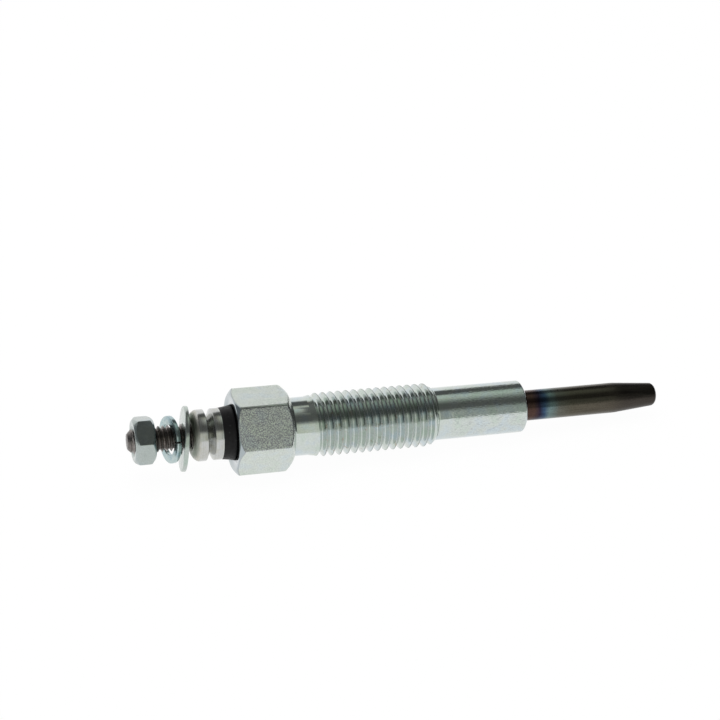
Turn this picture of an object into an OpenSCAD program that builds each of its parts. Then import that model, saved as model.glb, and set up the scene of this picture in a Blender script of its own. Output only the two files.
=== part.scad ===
// Diesel glow plug, sheathed type, lying as it comes to rest on its hex and its thread.
// Every piece is drawn along the plug's own axis, with the hex's terminal-side face at zero
// and the heater tip towards +X, and one common move lays the plug on the ground.

/* [Terminal stud] */
// Thread diameter of the terminal stud
stud_d = 4; // [3.6:0.1:4.6]
// Pitch of the stud's thread
stud_pitch = 0.7; // [0.6:0.05:0.8]
// Bare stud between the ring nut and the terminal nut, where the washers hang
stud_gap = 5.6; // [5:0.05:9]
// Stud standing proud of the terminal nut
stud_proud = 0.85; // [0.3:0.05:3]
// Chamfer at the end of the stud
stud_chamfer = 0.8; // [0.2:0.05:0.8]

/* [Terminal nut and washers] */
// Terminal nut across its flats
nut_af = 6.75; // [6.6:0.05:8]
// Thickness of the terminal nut
nut_t = 3.15; // [2.2:0.05:4]
// Turn of the nut's flats from the hex's flats
nut_turn = 43; // [0:1:59]
// Outer diameter of the spring washer
spring_od = 7.25; // [6.8:0.05:8]
// Width of the spring washer's section, along the radius
spring_b = 1.3; // [1:0.05:1.5]
// Thickness of the spring washer's section
spring_t = 0.7; // [0.5:0.05:0.8]
// Axial rise of the spring washer from one end to the other
spring_rise = 0.1; // [0.05:0.05:0.3]
// Gap in degrees between the spring washer's ends
spring_split = 5; // [4:1:20]
// Middle of the spring washer, from the ring nut's face
spring_at = 3.05; // [3.05:0.05:3.6]
// Lean of the spring washer on the stud: top towards the tip
spring_lean = 5; // [0:0.5:5]
// Swing of the spring washer on the stud: near side towards the tip
spring_swing = 12; // [0:0.5:12]
// Outer diameter of the flat washer
flat_od = 10; // [8:0.1:11]
// Bore of the flat washer
flat_id = 4.8; // [4.5:0.05:5]
// Thickness of the flat washer
flat_t = 0.65; // [0.5:0.05:0.7]
// Middle of the flat washer, from the ring nut's face
flat_at = 0.95; // [0.95:0.05:1]
// Lean of the flat washer on the stud: top towards the tip
flat_lean = 4; // [0:0.5:5]
// Swing of the flat washer on the stud: near side towards the terminal
flat_swing = 6; // [0:0.5:7]

/* [Ring nut and bush] */
// Outer diameter of the grooved ring nut
ring_d = 7.9; // [7.4:0.05:9]
// Length of the ring nut
ring_len = 4.55; // [4.2:0.05:5.4]
// Length of the ring nut's round-shouldered nose on the terminal side
ring_nose_len = 0.95; // [0.65:0.05:1.2]
// Radial drop of that nose
ring_nose_drop = 1.1; // [0.5:0.05:1.3]
// Depth of the ring nut's V groove
ring_groove_depth = 1.25; // [0.4:0.05:1.4]
// Width of the V groove at the surface
ring_groove_w = 1.2; // [0.6:0.05:1.4]
// Rim of the ring nut between the V groove and the bush
ring_rim_w = 1.25; // [0.6:0.05:1.4]
// Insulating bush's diameter against the ring nut
bush_d = 7.9; // [7.4:0.05:9]
// Insulating bush's diameter against the hex
bush_flare_d = 8.45; // [8:0.05:9.5]
// Length of the bush outside the housing
bush_len = 1.85; // [1.5:0.05:4]
// Length of the bush's neck inside the housing
bush_neck_len = 2.6; // [1.5:0.1:4]

/* [Housing] */
// Housing hex across its flats
hex_af = 11.72; // [11:0.02:13]
// Length of the hex
hex_len = 8.85; // [7:0.05:12]
// Axial length of the chamfer on the hex's corners, on the tip side
hex_chamfer_len = 0.95; // [0.6:0.05:2]
// Radial drop of that chamfer
hex_chamfer_drop = 1.3; // [1:0.05:1.6]
// Axial length of the crown on the hex's terminal side
hex_crown_len = 0.65; // [0.1:0.05:0.8]
// Radial drop of that crown
hex_crown_drop = 1.65; // [0.5:0.05:1.8]
// Diameter of the shank between the hex and the thread
upper_shank_d = 9.06; // [8.8:0.02:9.4]
// Length of the shank between the hex and the thread
upper_shank_len = 2.8; // [1:0.05:8]
// Thread diameter of the housing
thread_d = 9.9; // [9.6:0.1:10.6]
// Pitch of the housing's thread
thread_pitch = 1.25; // [1:0.05:1.5]
// Length of the housing's thread
thread_len = 20.35; // [14:0.05:24]
// Length over which the first crests rise out of the shank
thread_runout = 1.9; // [0.5:0.1:2.5]
// Lead chamfer at the thread's tip end
thread_lead = 0.85; // [0.5:0.05:1.5]
// Width of the undercut between the thread and the lower shank
undercut_w = 0.2; // [0.15:0.05:1]
// Diameter of the lower shank
lower_shank_d = 8.26; // [7.6:0.02:8.4]
// Length of the lower shank, seat included
lower_shank_len = 14.95; // [10:0.05:20]
// Radial drop of the sealing seat at the lower shank's end
seat_drop = 0.64; // [0.3:0.02:1]
// Axial length of the sealing seat
seat_len = 0.42; // [0.2:0.02:1]

/* [Heater] */
// Diameter of the heater sheath
sheath_d = 4.85; // [4.4:0.05:5.2]
// Wall of the heater sheath
sheath_wall = 0.5; // [0.4:0.05:0.6]
// Length of the sheath outside the housing
sheath_out_len = 23.15; // [16:0.05:30]
// Length of the sheath pressed into the housing
sheath_in_len = 19; // [12:0.5:24]
// Length of the tapered end
taper_len = 7.25; // [4:0.05:10]
// Diameter at the end of the taper, before its rounding
taper_end_d = 3.72; // [3.2:0.02:4]
// Rounding of the tip
tip_round = 0.45; // [0.2:0.05:0.8]
// Wire of the control coil
control_wire = 0.45; // [0.3:0.05:0.5]
// Wire of the heating coil
heating_wire = 0.35; // [0.25:0.05:0.4]
// Radius of both coils at the middle of the wire
coil_r = 1.02; // [0.9:0.02:1.1]
// Turns of the control coil
control_turns = 12; // [6:1:16]
// Turns of the heating coil
heating_turns = 10; // [6:1:14]
// Axial step of the control coil from turn to turn
control_pitch = 1.1; // [0.8:0.05:1.4]
// Axial step of the heating coil from turn to turn
heating_pitch = 0.9; // [0.7:0.05:1.1]

/* [Terminal rod] */
// Diameter of the rod inside the housing
rod_d = 3.45; // [3.2:0.05:3.5]
// Diameter of the rod's pin inside the sheath
pin_d = 2.2; // [2:0.05:2.6]
// Length of the rubber plug in the sheath's open end
seal_len = 2.5; // [1.5:0.1:4]

/* [Hidden] */
$fn = 64;

// Clearance between pieces that are screwed or slid onto each other
slide_gap = 0.05;
// Clearance between pieces that are pressed or packed into each other
press_gap = 0.01;
// Overshoot of cut-outs past the faces that they open
cut = 1;

// Chamfers of the nuts: the nut's face circle inside its flats, its angle, and the bores' mouths
nut_face_step = 0.28;
nut_chamfer_angle = 40;
bore_chamfer = 0.3;
// Place of the V groove's bottom across its width, and the nose's shallow shoulder
ring_groove_lean = 0.46;
ring_shoulder_len = 0.6;
ring_shoulder_drop = 0.4;

// Metric thread form: depth, and the width of the groove at the crest and at the root
thread_depth_share = 0.6134;
crest_groove_share = 3 / 4;
flank_angle = 30;
// Height of a groove cutter above the crests, and its steps around one turn
cutter_proud = 0.08;
housing_thread_steps = 28;
stud_thread_steps = 16;
// Part of a turn over which a thread fades out
fade = 0.6;

// Positions along the axis, outwards from the hex's terminal-side face
bush_u = -bush_len;
ring_u = bush_u - ring_len;
flat_u = ring_u - flat_at;
spring_u = ring_u - spring_at;
nut_u = ring_u - stud_gap - nut_t;
stud_u = nut_u - stud_proud;
upper_u = hex_len;
thread_u = upper_u + upper_shank_len;
undercut_u = thread_u + thread_len;
lower_u = undercut_u + undercut_w;
lower_end_u = lower_u + lower_shank_len;
tip_u = lower_end_u + sheath_out_len;
taper_u = tip_u - taper_len;
sheath_u = lower_end_u - sheath_in_len;

// Radii of the housing's sections
hex_corner_r = hex_af / 2 / cos(30);
hex_end_r = hex_corner_r - hex_chamfer_drop;
hex_flat_end_u = hex_len - (hex_af / 2 - hex_end_r) * hex_chamfer_len / hex_chamfer_drop;
thread_r = thread_d / 2;
thread_root_r = thread_r - thread_depth_share * thread_pitch;
groove_start_u = thread_u + thread_runout / 4;
thread_end_step = 0.1;
thread_end_r = thread_root_r + thread_end_step;
undercut_depth = 0.2;
undercut_r = min(thread_root_r, lower_shank_d / 2) - undercut_depth;
lower_r = lower_shank_d / 2;

// Bores of the housing, the seal under the bush and the stack inside the sheath
stud_bore_r = stud_d / 2 + slide_gap;
bush_step = 0.85;
neck_r = bush_d / 2 - bush_step;
seal_tube_r = (neck_r + press_gap - rod_d / 2) / 2;
seal_mid_r = rod_d / 2 + seal_tube_r;
seal_u = bush_neck_len + press_gap + seal_tube_r;
counterbore_u = seal_u + seal_tube_r;
counterbore_r = neck_r + press_gap;
rod_air_gap = 0.35;
rod_bore_r = rod_d / 2 + rod_air_gap;
sheath_r = sheath_d / 2;
sheath_inner_r = sheath_r - sheath_wall;
pin_lead = 1;
pin_u = sheath_u - pin_lead;
powder_u = sheath_u + seal_len;
tip_wall = 1.2 * sheath_wall;
tip_inner_u = tip_u - tip_wall;
taper_end_r = taper_end_d / 2;
taper_inner_end_r = taper_end_r - sheath_wall;

// The coils: the control coil sits on the pin's spigot, the heating coil ends in the tip
coil_steps = 9;
wire_sides = 6;
spigot_r = coil_r * cos(180 / coil_steps) - control_wire / 2 - press_gap;
spigot_turns = 3;
spigot_len = spigot_turns * control_pitch;
heating_lead = 0.9;
lead_end_u = tip_inner_u - heating_wire / 4;
heating_end_u = lead_end_u - heating_lead;
heating_u = heating_end_u - heating_turns * heating_pitch;
control_end_u = heating_u;
control_u = control_end_u - control_turns * control_pitch;
spigot_u = control_u - control_wire;
// Part of a turn between the control coil's end and the heating coil's start, where they are welded
weld_turn = 0.02;

// Rest: the tip-side edge of a hex flat and the last full crest of the thread touch the ground
last_crest_back = 0.695;
last_crest_u = undercut_u - thread_lead - last_crest_back;
crest_half_w = (1 - crest_groove_share) * thread_pitch / 2;
rest_u = last_crest_u + crest_half_w;
tilt = atan((hex_af / 2 - thread_r) / (rest_u - hex_flat_end_u));
lift = rest_u * sin(tilt) + thread_r * cos(tilt);
middle_x = ((stud_u + tip_u) * cos(tilt)) / 2;

// Lays a piece that is drawn along the plug's axis on the ground
module laid() {
    translate([-middle_x, 0, lift])
        rotate([0, tilt, 0])
            children();
}

// Solid turned about the axis from [position, radius] points
module turned(points) {
    rotate([0, 90, 0])
        rotate_extrude()
            polygon([for (p = points) [p[1], p[0]]]);
}

// Round bar along the axis
module bar(u0, u1, r) {
    translate([u0, 0, 0])
        rotate([0, 90, 0])
            cylinder(h = u1 - u0, r = r);
}

// Hexagonal bar along the axis, lying on a flat
module hex_bar(u0, u1, across_flats) {
    translate([u0, 0, 0])
        rotate([30, 0, 0])
            rotate([0, 90, 0])
                cylinder(h = u1 - u0, r = across_flats / 2 / cos(30), $fn = 6);
}

// Solid through a row of rings that have equal counts of points
module skinned(rings) {
    n = len(rings[0]);
    last = len(rings) - 1;
    sides = [
        for (i = [0:last - 1])
            for (j = [0:n - 1])
                let (k = (j + 1) % n)
                    each [
                        [i * n + j, (i + 1) * n + k, i * n + k],
                        [i * n + j, (i + 1) * n + j, (i + 1) * n + k]
                    ]
    ];
    first_cap = [[for (j = [0:n - 1]) j]];
    last_cap = [[for (j = [n - 1:-1:0]) last * n + j]];
    polyhedron([for (ring = rings) each ring], concat(first_cap, sides, last_cap), convexity = 10);
}

// Point on the axis's polar grid
function polar(u, r, a) = [u, r * cos(a), r * sin(a)];

// Groove cutter of a metric thread, which passes the given position at the bottom of the plug
module thread_cutter(major_r, pitch, u0, u1, through_u, steps, fade_start, fade_end) {
    depth = thread_depth_share * pitch;
    crest_w = crest_groove_share * pitch / 2;
    top_w = crest_w + cutter_proud * tan(flank_angle);
    root_w = crest_w - depth * tan(flank_angle);
    a0 = 270 + (u0 - through_u) / pitch * 360;
    count = ceil((u1 - u0) / pitch * steps);
    fade_u = fade * pitch;
    skinned([
        for (i = [0:count])
            let (
                u = u0 + (u1 - u0) * i / count,
                a = a0 + (u - u0) / pitch * 360,
                from_start = fade_start ? max(0, 1 - (u - u0) / fade_u) : 0,
                from_end = fade_end ? max(0, 1 - (u1 - u) / fade_u) : 0,
                raised = (depth + cutter_proud / 2) * max(from_start, from_end)
            )
                [
                    polar(u - root_w, major_r - depth + raised, a),
                    polar(u + root_w, major_r - depth + raised, a),
                    polar(u + top_w, major_r + cutter_proud + raised, a),
                    polar(u - top_w, major_r + cutter_proud + raised, a)
                ]
    ]);
}

// Round wire wound into a coil, with an optional lead that runs in to the axis and on to end_u
module wound_wire(wire_d, u0, pitch, turns, end_u) {
    wire_r = wire_d / 2;
    coil_count = ceil(turns * coil_steps);
    lead_count = coil_steps;
    lead_run = max(0, end_u - u0 - turns * pitch);
    path = concat(
        [
            for (i = [0:coil_count])
                let (turn = turns * i / coil_count)
                    polar(u0 + pitch * turn, coil_r, 360 * turn)
        ],
        lead_run == 0 ? [] : [
            for (i = [1:lead_count])
                polar(
                    u0 + turns * pitch + lead_run * pow(i / lead_count, 2),
                    coil_r * (1 - i / lead_count),
                    180 * i / lead_count
                )
        ]
    );
    last = len(path) - 1;
    skinned([
        for (i = [0:last])
            let (
                ahead = path[min(i + 1, last)] - path[max(i - 1, 0)],
                t = ahead / norm(ahead),
                across = cross(t, [1, 0, 0]),
                side = across / norm(across),
                up = cross(side, t)
            )
                [
                    for (j = [0:wire_sides - 1])
                        let (b = -360 * j / wire_sides)
                            path[i] + wire_r * (cos(b) * side + sin(b) * up)
                ]
    ]);
}

module control_winding(wire_d) {
    wound_wire(wire_d, control_u, control_pitch, control_turns - weld_turn, control_u);
}

module heating_winding(wire_d) {
    wound_wire(wire_d, heating_u, heating_pitch, heating_turns, lead_end_u);
}

// How far a washer's middle lies below the stud's, with the top of its leaning bore on the stud
function hang_of(bore_r, thickness, lean) =
    bore_r * cos(lean) - thickness / 2 * sin(lean) - stud_d / 2 - 2 * press_gap;

// Hexagonal terminal nut with both faces chamfered
module terminal_nut() {
    corner_r = nut_af / 2 / cos(30);
    face_r = nut_af / 2 - nut_face_step;
    chamfer = (corner_r - face_r) * tan(nut_chamfer_angle);
    color("silver")
        laid()
            difference() {
                intersection() {
                    rotate([nut_turn, 0, 0])
                        hex_bar(nut_u, nut_u + nut_t, nut_af);
                    turned([
                        [nut_u, 0],
                        [nut_u, face_r],
                        [nut_u + chamfer, corner_r],
                        [nut_u + nut_t - chamfer, corner_r],
                        [nut_u + nut_t, face_r],
                        [nut_u + nut_t, 0]
                    ]);
                }
                bar(nut_u - cut, nut_u + nut_t + cut, stud_bore_r);
                turned([
                    [nut_u - cut, 0],
                    [nut_u - cut, stud_bore_r + bore_chamfer + cut],
                    [nut_u + bore_chamfer, stud_bore_r],
                    [nut_u + bore_chamfer, 0]
                ]);
            }
}

// Split spring washer, hanging on the stud with its ends towards the front
module spring_washer() {
    outer_r = spring_od / 2;
    inner_r = outer_r - spring_b;
    hang = hang_of(inner_r, spring_t, spring_lean);
    steps = 40;
    split_middle = 161;
    start = split_middle + spring_split / 2;
    sweep = 360 - spring_split;
    color("lightsteelblue")
        laid()
            translate([spring_u, 0, -hang])
                rotate([0, spring_lean, spring_swing])
                    skinned([
                        for (i = [0:steps])
                            let (
                                a = start + sweep * i / steps,
                                u = spring_rise * (0.5 - i / steps)
                            )
                                [
                                    polar(u - spring_t / 2, inner_r, a),
                                    polar(u + spring_t / 2, inner_r, a),
                                    polar(u + spring_t / 2, outer_r, a),
                                    polar(u - spring_t / 2, outer_r, a)
                                ]
                    ]);
}

// Flat washer, hanging askew on the stud
module flat_washer() {
    hang = hang_of(flat_id / 2, flat_t, flat_lean);
    color("silver")
        laid()
            translate([flat_u, 0, -hang])
                rotate([0, flat_lean, -flat_swing])
                    difference() {
                        bar(-flat_t / 2, flat_t / 2, flat_od / 2);
                        bar(-cut, cut, flat_id / 2);
                    }
}

// Round nut with a V groove about its middle
module ring_nut() {
    r = ring_d / 2;
    groove_end_u = bush_u - ring_rim_w;
    groove_u = groove_end_u - ring_groove_w;
    groove_bottom_u = groove_u + ring_groove_lean * ring_groove_w;
    color("gainsboro")
        laid()
            turned([
                [ring_u, stud_bore_r + bore_chamfer],
                [ring_u, r - ring_nose_drop],
                [ring_u + ring_nose_len - ring_shoulder_len, r - ring_shoulder_drop],
                [ring_u + ring_nose_len, r],
                [groove_u, r],
                [groove_bottom_u, r - ring_groove_depth],
                [groove_end_u, r],
                [bush_u, r],
                [bush_u, stud_bore_r],
                [ring_u + bore_chamfer, stud_bore_r]
            ]);
}

// Insulating bush: a flared collar outside and a neck inside the housing
module insulating_bush() {
    lip = 0.5;
    lip_rise = 0.1;
    color([0.07, 0.07, 0.08])
        laid()
            turned([
                [bush_u, stud_bore_r],
                [bush_u, bush_d / 2],
                [-lip, bush_flare_d / 2 - lip_rise],
                [-lip / 2, bush_flare_d / 2],
                [0, bush_flare_d / 2],
                [0, neck_r],
                [bush_neck_len, neck_r],
                [bush_neck_len, stud_bore_r]
            ]);
}

// Round sealing ring under the bush's neck
module sealing_ring() {
    color("dimgray")
        laid()
            translate([seal_u, 0, 0])
                rotate([0, 90, 0])
                    rotate_extrude()
                        translate([seal_mid_r, 0])
                            circle(r = seal_tube_r - press_gap, $fn = 24);
}

// Steel housing: hex, shanks, thread, sealing seat and the stepped bore through it
module housing() {
    color("lightgray")
        laid()
            difference() {
                union() {
                    intersection() {
                        hex_bar(0, hex_len, hex_af);
                        turned([
                            [0, 0],
                            [0, hex_corner_r - hex_crown_drop],
                            [hex_crown_len, hex_corner_r],
                            [hex_len - hex_chamfer_len, hex_corner_r],
                            [hex_len, hex_end_r],
                            [hex_len, 0]
                        ]);
                    }
                    turned([
                        [cut, 0],
                        [cut, upper_shank_d / 2],
                        [thread_u, upper_shank_d / 2],
                        [thread_u + thread_runout, thread_r],
                        [undercut_u - thread_lead, thread_r],
                        [undercut_u, thread_end_r],
                        [undercut_u, undercut_r],
                        [lower_u, lower_r],
                        [lower_end_u - seat_len, lower_r],
                        [lower_end_u, lower_r - seat_drop],
                        [lower_end_u, 0]
                    ]);
                }
                turned([
                    [-cut, 0],
                    [-cut, counterbore_r],
                    [counterbore_u, counterbore_r],
                    [counterbore_u, rod_bore_r],
                    [sheath_u, rod_bore_r],
                    [sheath_u, sheath_r + press_gap],
                    [lower_end_u + cut, sheath_r + press_gap],
                    [lower_end_u + cut, 0]
                ]);
                thread_cutter(
                    thread_r,
                    thread_pitch,
                    groove_start_u,
                    undercut_u + thread_pitch / 4,
                    last_crest_u + thread_pitch / 2,
                    housing_thread_steps,
                    true,
                    false
                );
            }
}

// Terminal rod: threaded stud outside, plain rod in the housing, pin and spigot in the sheath
module terminal_rod() {
    stud_r = stud_d / 2;
    thread_end_u = -stud_pitch;
    color([0.2, 0.17, 0.15])
        laid()
            difference() {
                turned([
                    [stud_u, 0],
                    [stud_u, stud_r - stud_chamfer],
                    [stud_u + stud_chamfer, stud_r],
                    [thread_end_u, stud_r],
                    [thread_end_u + stud_r - rod_d / 2, rod_d / 2],
                    [pin_u - (rod_d - pin_d) / 2, rod_d / 2],
                    [pin_u, pin_d / 2],
                    [spigot_u, pin_d / 2],
                    [spigot_u, spigot_r],
                    [spigot_u + spigot_len, spigot_r],
                    [spigot_u + spigot_len, 0]
                ]);
                thread_cutter(
                    stud_r,
                    stud_pitch,
                    stud_u - stud_pitch / 4,
                    thread_end_u,
                    stud_u + stud_pitch,
                    stud_thread_steps,
                    false,
                    true
                );
            }
}

// Rubber plug that closes the sheath's open end about the pin
module sheath_seal() {
    color("darkslategray")
        laid()
            turned([
                [sheath_u, pin_d / 2 + press_gap],
                [sheath_u, sheath_inner_r - press_gap],
                [powder_u, sheath_inner_r - press_gap],
                [powder_u, pin_d / 2 + press_gap]
            ]);
}

// Heater sheath: a thin tube with a tapered closed end
module heater_sheath() {
    round_steps = 6;
    tip_arc = [
        for (i = [0:round_steps])
            let (a = 90 * i / round_steps)
                [tip_u - tip_round * (1 - sin(a)), taper_end_r - tip_round * (1 - cos(a))]
    ];
    color([0.42, 0.4, 0.36])
        laid()
            difference() {
                turned(concat(
                    [[sheath_u, 0], [sheath_u, sheath_r], [taper_u, sheath_r]],
                    tip_arc,
                    [[tip_u, 0]]
                ));
                turned([
                    [sheath_u - cut, 0],
                    [sheath_u - cut, sheath_inner_r],
                    [taper_u, sheath_inner_r],
                    [tip_inner_u, taper_inner_end_r],
                    [tip_inner_u, 0]
                ]);
            }
}

// Control coil on the pin's spigot
module control_coil() {
    color("goldenrod")
        laid()
            control_winding(control_wire);
}

// Heating coil, whose lead meets the closed end of the sheath
module heating_coil() {
    color("peru")
        laid()
            heating_winding(heating_wire);
}

// Compacted insulating powder around the pin and the coils
module insulating_powder() {
    color("whitesmoke")
        laid()
            difference() {
                turned([
                    [powder_u + press_gap, 0],
                    [powder_u + press_gap, sheath_inner_r - press_gap],
                    [taper_u, sheath_inner_r - press_gap],
                    [tip_inner_u - press_gap, taper_inner_end_r - press_gap],
                    [tip_inner_u - press_gap, 0]
                ]);
                bar(powder_u - cut, spigot_u + press_gap, pin_d / 2 + press_gap);
                bar(spigot_u, spigot_u + spigot_len + press_gap, spigot_r + press_gap);
                control_winding(control_wire + 2 * press_gap);
                heating_winding(heating_wire + 2 * press_gap);
            }
}

terminal_nut();
spring_washer();
flat_washer();
ring_nut();
insulating_bush();
sealing_ring();
housing();
terminal_rod();
sheath_seal();
heater_sheath();
control_coil();
heating_coil();
insulating_powder();
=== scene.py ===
"""Looks of a sheathed diesel glow plug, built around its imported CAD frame.

Pieces are drawn along the plug's own axis in millimetres: u runs from the hex's terminal-side face
(zero) towards the heater tip, and angles run about the axis from +Y towards +Z. One common move
lays them on the ground.
"""

import math

import bmesh
import bpy
from mathutils import Matrix, Vector


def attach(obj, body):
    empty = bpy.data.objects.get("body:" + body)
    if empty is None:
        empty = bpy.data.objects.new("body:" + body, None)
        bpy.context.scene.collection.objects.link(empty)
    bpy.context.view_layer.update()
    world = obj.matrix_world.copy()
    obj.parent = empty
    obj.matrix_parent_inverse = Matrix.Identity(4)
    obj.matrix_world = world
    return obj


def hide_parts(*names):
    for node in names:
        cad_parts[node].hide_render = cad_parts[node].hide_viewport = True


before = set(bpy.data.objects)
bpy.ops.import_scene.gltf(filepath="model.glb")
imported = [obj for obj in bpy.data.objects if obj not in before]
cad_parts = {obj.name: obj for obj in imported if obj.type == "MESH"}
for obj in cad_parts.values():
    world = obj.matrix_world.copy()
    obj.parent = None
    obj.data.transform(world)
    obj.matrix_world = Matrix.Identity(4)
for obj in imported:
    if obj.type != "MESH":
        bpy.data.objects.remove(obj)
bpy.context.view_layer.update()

MM = 0.001

# Terminal stud, nut and washers
STUD_D = 4.0
STUD_PITCH = 0.7
STUD_GAP = 5.6
STUD_PROUD = 0.85
STUD_CHAMFER = 0.8
NUT_AF = 6.75
NUT_T = 3.15
NUT_TURN = 43.0
NUT_FACE_STEP = 0.28
NUT_CHAMFER_ANGLE = 40.0
SPRING_OD = 7.25
SPRING_B = 1.3
SPRING_T = 0.7
SPRING_RISE = 0.1
SPRING_SPLIT = 5.0
SPRING_SPLIT_AT = 161.0
SPRING_AT = 3.05
SPRING_LEAN = 5.0
SPRING_SWING = 12.0
FLAT_OD = 10.0
FLAT_ID = 4.8
FLAT_T = 0.65
FLAT_AT = 0.95
FLAT_LEAN = 4.0
FLAT_SWING = -6.0

# Ring nut and bush
RING_D = 7.9
RING_LEN = 4.55
RING_NOSE_LEN = 0.95
RING_NOSE_DROP = 1.1
RING_SHOULDER_LEN = 0.6
RING_SHOULDER_DROP = 0.4
RING_GROOVE_DEPTH = 1.25
RING_GROOVE_W = 1.2
RING_GROOVE_LEAN = 0.46
RING_RIM_W = 1.25
BUSH_D = 7.9
BUSH_FLARE_D = 8.45
BUSH_LEN = 1.85
BUSH_NECK_LEN = 2.6
BUSH_STEP = 0.85
BUSH_LIP = 0.5
BUSH_LIP_RISE = 0.1
BORE_CHAMFER = 0.3

# Housing; its crown is the hex's terminal-side face, whose corners curve back
HEX_AF = 11.72
HEX_LEN = 8.85
HEX_CHAMFER_LEN = 0.95
HEX_CHAMFER_DROP = 1.3
CROWN_LEN = 0.65
CROWN_DROP = 0.95
CROWN_RIM = 0.15
CROWN_POWER = 1.3
UPPER_D = 9.06
UPPER_LEN = 2.8
THREAD_D = 9.9
THREAD_PITCH = 1.25
THREAD_LEN = 20.35
THREAD_RUNOUT = 1.9
THREAD_CUT_IN = THREAD_RUNOUT / 4
THREAD_LEAD = 0.85
THREAD_END_STEP = 0.1
UNDERCUT_W = 0.2
UNDERCUT_DEPTH = 0.2
LOWER_D = 8.26
LOWER_LEN = 14.95
SEAT_DROP = 0.64
SEAT_LEN = 0.42
LAST_CREST_BACK = 0.695

# Heater sheath and the rod inside
SHEATH_D = 4.85
SHEATH_WALL = 0.5
SHEATH_OUT_LEN = 23.15
SHEATH_IN_LEN = 19.0
TAPER_LEN = 7.25
TAPER_END_D = 3.72
TIP_ROUND = 0.7
TIP_WALL = 1.2 * SHEATH_WALL
ROD_D = 3.45
PIN_D = 2.2
PIN_LEAD = 1.0
SPIGOT_R = 0.72
SPIGOT_U = 46.06
SPIGOT_LEN = 3.3
ROD_AIR_GAP = 0.35

# Clearances
SLIDE_GAP = 0.05
PRESS_GAP = 0.01

# Threads, in shares of the pitch: depth, basic crest, flank, rolled crest and fade at an end
DEPTH_SHARE = 0.6134
CREST_SHARE = 1 / 8
FLANK_SHARE = DEPTH_SHARE * math.tan(math.radians(30))
ROLLED_CREST = 0.06
FADE = 0.6
# Easing of the crests and roots, in shares of the depth
CREST_EASE = 0.15
ROOT_EASE = 0.5

# Positions along the axis
BUSH_U = -BUSH_LEN
RING_U = BUSH_U - RING_LEN
FLAT_U = RING_U - FLAT_AT
SPRING_U = RING_U - SPRING_AT
NUT_U = RING_U - STUD_GAP - NUT_T
STUD_U = NUT_U - STUD_PROUD
THREAD_U = HEX_LEN + UPPER_LEN
UNDERCUT_U = THREAD_U + THREAD_LEN
LOWER_U = UNDERCUT_U + UNDERCUT_W
LOWER_END_U = LOWER_U + LOWER_LEN
TIP_U = LOWER_END_U + SHEATH_OUT_LEN
TAPER_U = TIP_U - TAPER_LEN
SHEATH_U = LOWER_END_U - SHEATH_IN_LEN
LAST_CREST_U = UNDERCUT_U - THREAD_LEAD - LAST_CREST_BACK

# Radii and angles that several pieces share
THREAD_R = THREAD_D / 2
THREAD_ROOT_R = THREAD_R - DEPTH_SHARE * THREAD_PITCH
STUD_R = STUD_D / 2
STUD_BORE_R = STUD_R + SLIDE_GAP
HEX_FLAT_R = HEX_AF / 2
HEX_CORNER_R = HEX_FLAT_R / math.cos(math.radians(30))
HEX_END_R = HEX_CORNER_R - HEX_CHAMFER_DROP
CROWN_R = HEX_CORNER_R - CROWN_DROP
SHEATH_R = SHEATH_D / 2
NECK_R = BUSH_D / 2 - BUSH_STEP
FIRST_FLAT = math.radians(30)
FRONT_FLAT = math.radians(150)
GROUND_SIDE = math.radians(270)

# Eased edges: how far from its corner each one starts
HEX_EDGE = 0.3
HEX_FILLET = 0.4
CROWN_EDGE = 0.08
SHANK_EDGE = 0.1
SEAT_EDGE = 0.12
ROD_EDGE = 0.05
NUT_EDGE = 0.14
NUT_BORE_EDGE = 0.05
NUT_MOUTH_EDGE = 0.06
SPRING_EDGE = 0.14
FLAT_PUNCHED_BORE_EDGE = 0.12
FLAT_PUNCHED_RIM_EDGE = 0.2
FLAT_BORE_EDGE = 0.05
FLAT_RIM_EDGE = 0.06
RING_EDGE = 0.06
RING_BORE_EDGE = 0.04
RING_NOSE_EDGE = 0.15
RING_SHOULDER_EDGE = 0.25
RING_GROOVE_EDGE = 0.05
BUSH_EDGE = 0.08
BUSH_LIP_EDGE = 0.25
BUSH_FLARE_EDGE = 0.1
BUSH_SEAT_EDGE = 0.05
SHEATH_EDGE = 0.1
TAPER_EDGE = 0.5
# Most of a side that one eased edge may take
EDGE_SHARE = 0.45

# Steps of the surfaces: about the axis, along eased edges and curves, and to a thread's pitch
ROUND_STEPS = 96
STUD_STEPS = 56
SPRING_STEPS = 120
EDGE_STEPS = 3
TAPER_EDGE_STEPS = 6
TIP_STEPS = 8
CROWN_STEPS = 6
PITCH_SAMPLES = 16
SPARE_PITCHES = 2
# Degrees from a hexagon's corner at which its surface has points
CORNER_SPREAD = [0, 0.4, 0.8, 1.2, 1.8, 3, 5, 8, 11.5, 15, 19, 22.5, 26.5]
# Points this close are one, and edges this short go
WELD = 1e-4
SLIVER = 1e-5
# Edges that turn by more degrees than this are shaded sharp
STUD_SHARP = 50
SPRING_SHARP = 40

# Tones of the zinc, each run from one cloud to the next
HOUSING_TONES = [(0.58, 0.66, 0.60), (0.63, 0.68, 0.65), (0.59, 0.67, 0.70)]
NUT_TONES = [(0.43, 0.48, 0.46), (0.46, 0.51, 0.49), (0.44, 0.50, 0.51)]
WASHER_TONES = [(0.47, 0.55, 0.50), (0.50, 0.56, 0.52), (0.52, 0.55, 0.54)]
SPRING_TONES = [(0.36, 0.49, 0.53), (0.52, 0.62, 0.61), (0.42, 0.55, 0.56)]
CLOUD_STOPS = [0.34, 0.50, 0.66]
# Films, wear and dirt on the zinc, and painted shade that some of them also carry
WARM_ZINC = (0.73, 0.79, 0.69)
# Bluish tone of the crown, darkened as painted shade where the crown faces the bush
CROWN_TONE_AND_SHADE = (0.36, 0.41, 0.44)
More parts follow.
